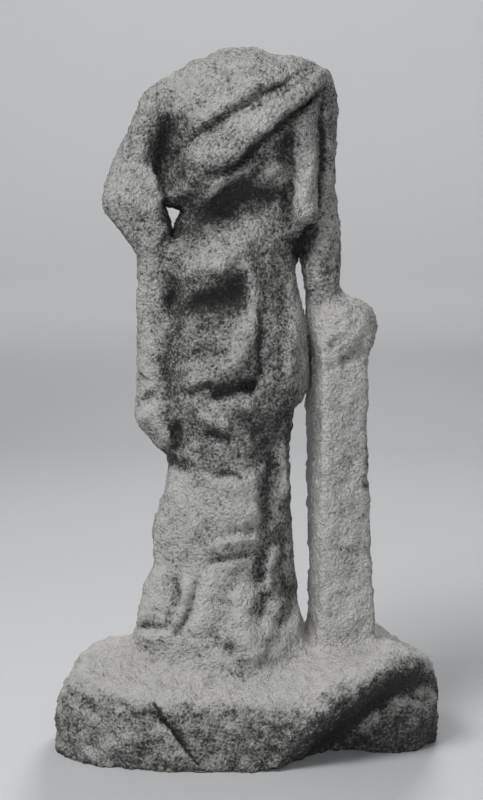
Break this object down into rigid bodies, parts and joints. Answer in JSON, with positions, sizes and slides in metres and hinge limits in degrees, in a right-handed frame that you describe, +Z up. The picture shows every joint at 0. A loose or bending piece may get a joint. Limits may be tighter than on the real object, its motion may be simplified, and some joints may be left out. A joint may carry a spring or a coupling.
{
  "type": "draped figure statue",
  "caption": "Worn marble statue of a draped standing figure without its head, an elbow bent out under the mantle, the other arm resting on a pillar, on a rough plinth.",
  "frame": {"origin": "on the ground, under the middle of the plinth's width and depth", "axes": "+Z up, the figure faces -Y, and the pillar under its left arm is on the +X side"},
  "size_m": [0.4995, 0.249, 0.8971],
  "materials": {
    "marble": "weathered, pitted and matt"
  },
  "bodies": {
    "root": {"figure_on_plinth": "marble"}
  },
  "joints": []
}
